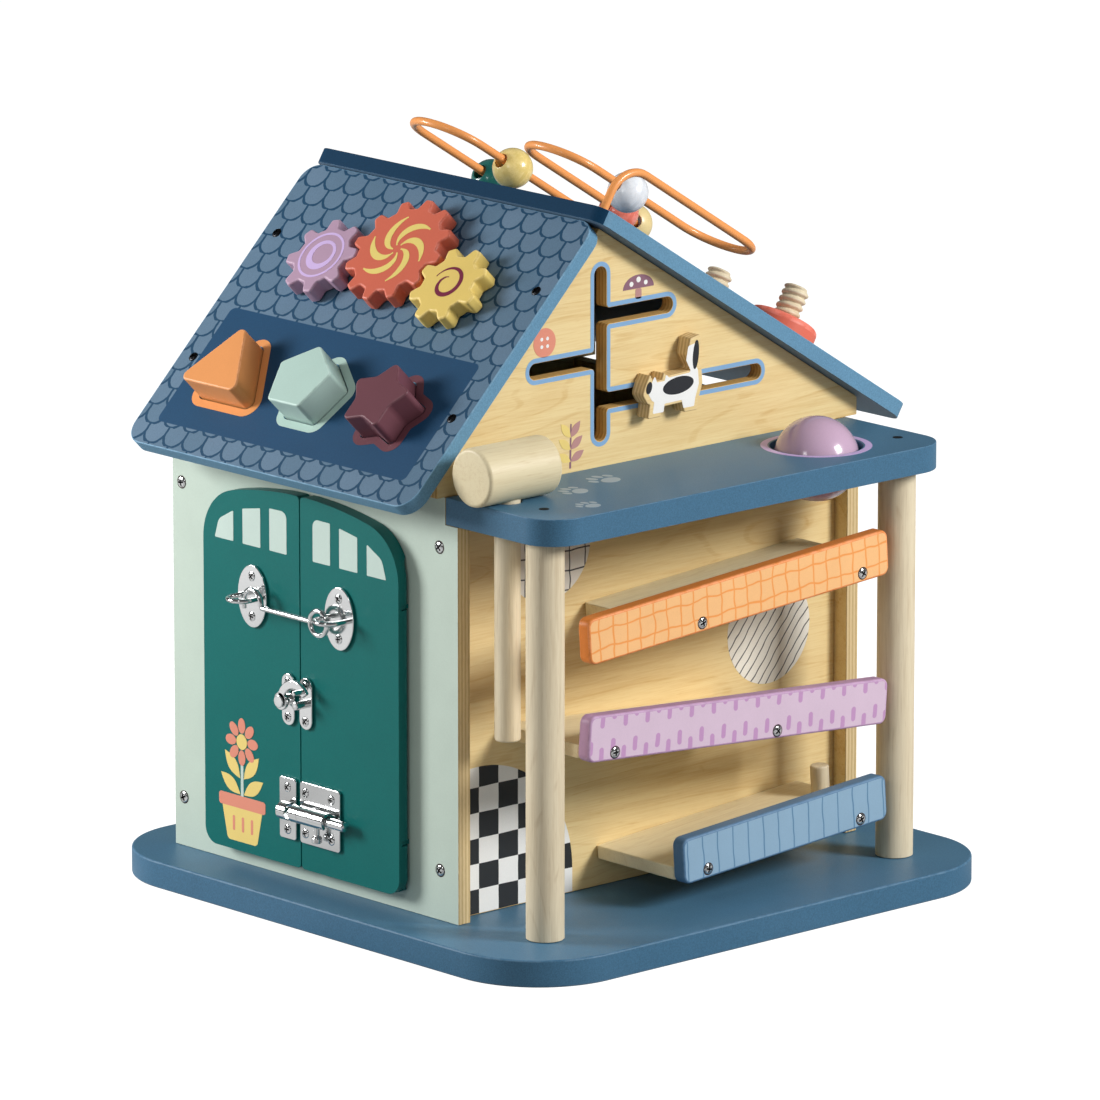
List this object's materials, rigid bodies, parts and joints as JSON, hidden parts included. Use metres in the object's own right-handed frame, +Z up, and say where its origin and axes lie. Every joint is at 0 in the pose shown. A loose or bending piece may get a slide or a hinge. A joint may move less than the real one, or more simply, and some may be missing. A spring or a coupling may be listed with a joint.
{
  "type": "activity house",
  "caption": "Painted plywood play house with a ball-run porch, gear and shape roofs, a bead wire, screw-on nuts, a gable slider and latched double doors.",
  "frame": {"origin": "centre of the whole house's box, on the surface that it stands on", "axes": "+Z up; +X along the porch, away from the doors; +Y from the porch into the house; the doors face -X and the porch faces -Y"},
  "size_m": [0.39, 0.3838, 0.4356],
  "materials": {
    "blue_board": "satin blue paint on plywood",
    "slate_board": "slate-blue printed tile pattern on plywood, satin",
    "slate": "satin slate-blue paint on wood",
    "mint_board": "satin mint paint on plywood",
    "teal_board": "satin teal paint on plywood",
    "natural_board": "clear satin lacquer on plywood, with printed motifs",
    "natural": "clear satin lacquer on natural wood",
    "red": "satin red paint on wood",
    "lilac": "satin lilac paint on wood",
    "yellow": "satin yellow paint on wood",
    "orange": "satin orange paint on wood",
    "mint": "satin pale mint paint on wood",
    "maroon": "satin maroon paint on wood",
    "coral": "satin coral paint on wood",
    "white": "satin white paint on wood",
    "green": "glossy dark green paint on wood",
    "cat_print": "printed patches on natural plywood, satin",
    "orange_wire": "glossy orange coat on steel wire",
    "chrome": "bright chrome plate",
    "zinc": "zinc-plated steel",
    "rubber": "matt dark rubber"
  },
  "bodies": {
    "house": {"base_plate": "blue_board", "door_wall": "mint_board", "far_wall": "mint_board", "front_wall": "natural_board", "rear_wall": "natural_board", "roof_left": "slate_board", "roof_right": "slate_board", "porch_deck": "blue_board", "post_left": "natural", "post_right": "natural", "ramp_rail_upper": "orange", "ramp_rail_middle": "lilac", "ramp_rail_lower": "slate", "ramp_board_upper": "natural", "ramp_board_middle": "natural", "ramp_board_lower": "natural", "ramp_peg": "natural", "ball_ring": "rubber", "gear_axle_red": "zinc", "gear_axle_lilac": "zinc", "gear_axle_yellow": "zinc", "bead_wire": "orange_wire", "stud_front": "natural", "stud_rear": "natural", "hinge_bracket_right_low": "zinc", "hinge_bracket_right_high": "zinc", "hinge_bracket_left_low": "zinc", "hinge_bracket_left_high": "zinc", "hinge_pin_right": "zinc", "hinge_pin_left": "zinc"},
    "ball": {"ball": "lilac"},
    "mallet": {"mallet_head": "natural", "mallet_handle": "natural"},
    "cat": {"cat_slider": "cat_print", "slider_washer": "natural"},
    "gear_red": {"gear_red": "red"},
    "gear_lilac": {"gear_lilac": "lilac"},
    "gear_yellow": {"gear_yellow": "yellow"},
    "block_triangle": {"block_triangle": "orange"},
    "block_pentagon": {"block_pentagon": "mint"},
    "block_star": {"block_star": "maroon"},
    "bead_white": {"bead_white": "white"},
    "bead_coral": {"bead_coral": "coral"},
    "bead_natural": {"bead_natural": "natural"},
    "bead_yellow": {"bead_yellow": "yellow"},
    "bead_green": {"bead_green": "green"},
    "nut_front": {"nut_front": "coral"},
    "nut_rear": {"nut_rear": "coral"},
    "door_right": {"door_right": "teal_board", "hook_plate": "chrome", "swivel_stud_plate": "chrome", "bolt_plate": "chrome"},
    "door_left": {"door_left": "teal_board", "hook_catch_plate": "chrome", "swivel_plate": "chrome", "bolt_keeper": "chrome"},
    "hook": {"hook": "chrome"},
    "swivel_hook": {"swivel_hook": "chrome"},
    "bolt_rod": {"bolt_rod": "chrome"}
  },
  "joints": [
    {"name": "gear_red_spin", "type": "hinge", "parent": "house", "child": "gear_red", "pos_m": [-0.08548, 0.034, 0.37184], "axis": [-0.7071, 0, 0.7071], "continuous": true},
    {"name": "gear_lilac_spin", "type": "hinge", "parent": "house", "child": "gear_lilac", "pos_m": [-0.09579, 0.08842, 0.36153], "axis": [-0.7071, 0, 0.7071], "continuous": true},
    {"name": "gear_yellow_spin", "type": "hinge", "parent": "house", "child": "gear_yellow", "pos_m": [-0.09579, -0.02042, 0.36153], "axis": [-0.7071, 0, 0.7071], "continuous": true},
    {"name": "block_triangle_slide", "type": "slide", "parent": "house", "child": "block_triangle", "axis": [-0.7071, 0, 0.7071], "range_m": [-0.018, 0.02]},
    {"name": "block_pentagon_slide", "type": "slide", "parent": "house", "child": "block_pentagon", "axis": [-0.7071, 0, 0.7071], "range_m": [-0.018, 0.02]},
    {"name": "block_star_slide", "type": "slide", "parent": "house", "child": "block_star", "axis": [-0.7071, 0, 0.7071], "range_m": [-0.018, 0.02]},
    {"name": "cat_slide", "type": "slide", "parent": "house", "child": "cat", "axis": [1, 0, 0], "range_m": [-0.048, 0.04]},
    {"name": "ball_slide", "type": "slide", "parent": "house", "child": "ball", "axis": [0, 0, 1], "range_m": [-0.03, 0.06]},
    {"name": "mallet_slide", "type": "slide", "parent": "house", "child": "mallet", "axis": [0, 0, 1], "range_m": [0, 0.15]},
    {"name": "bead_white_slide", "type": "slide", "parent": "house", "child": "bead_white", "axis": [0.848, 0, -0.5299], "range_m": [-0.0178, 0.0368]},
    {"name": "bead_coral_slide", "type": "slide", "parent": "house", "child": "bead_coral", "axis": [0.848, 0, -0.5299], "range_m": [-0.063, 0]},
    {"name": "bead_yellow_slide", "type": "slide", "parent": "house", "child": "bead_yellow", "axis": [0.848, 0, -0.5299], "range_m": [-0.0183, 0.036]},
    {"name": "bead_green_slide", "type": "slide", "parent": "house", "child": "bead_green", "axis": [0.848, 0, -0.5299], "range_m": [-0.051, 0.003]},
    {"name": "bead_natural_swing", "type": "hinge", "parent": "house", "child": "bead_natural", "pos_m": [0.08053, 0.05565, 0.37791], "axis": [0.5299, 0, 0.848], "range_deg": [0, 90]},
    {"name": "nut_front_unscrew", "type": "slide", "parent": "house", "child": "nut_front", "axis": [0.5299, 0, 0.848], "range_m": [0, 0.038]},
    {"name": "nut_rear_unscrew", "type": "slide", "parent": "house", "child": "nut_rear", "axis": [0.5299, 0, 0.848], "range_m": [0, 0.038]},
    {"name": "door_right_swing", "type": "hinge", "parent": "house", "child": "door_right", "pos_m": [-0.1643, -0.047, 0.016], "axis": [0, 0, 1], "range_deg": [0, 90]},
    {"name": "door_left_swing", "type": "hinge", "parent": "house", "child": "door_left", "pos_m": [-0.1643, 0.115, 0.016], "axis": [0, 0, 1], "range_deg": [-90, 0]},
    {"name": "hook_lift", "type": "hinge", "parent": "door_right", "child": "hook", "pos_m": [-0.1773, 0.00831, 0.17778], "axis": [1, 0, 0], "range_deg": [0, 144]},
    {"name": "swivel_turn", "type": "hinge", "parent": "door_left", "child": "swivel_hook", "pos_m": [-0.1745, 0.043, 0.1257], "axis": [1, 0, 0], "range_deg": [-180, 0]},
    {"name": "bolt_slide", "type": "slide", "parent": "door_right", "child": "bolt_rod", "axis": [0, 1, 0], "range_m": [-0.015, 0]}
  ],
  "couplings": [
    {"joint": "gear_lilac_spin", "follows": "gear_red_spin", "ratio": -1.5},
    {"joint": "gear_yellow_spin", "follows": "gear_red_spin", "ratio": -1.5},
    {"joint": "door_left_swing", "follows": "door_right_swing", "ratio": -1},
    {"joint": "hook_lift", "follows": "door_right_swing", "ratio": 1.6},
    {"joint": "swivel_turn", "follows": "door_right_swing", "ratio": -2},
    {"joint": "bolt_slide", "follows": "door_right_swing", "m_per_rad": -0.0095493}
  ]
}
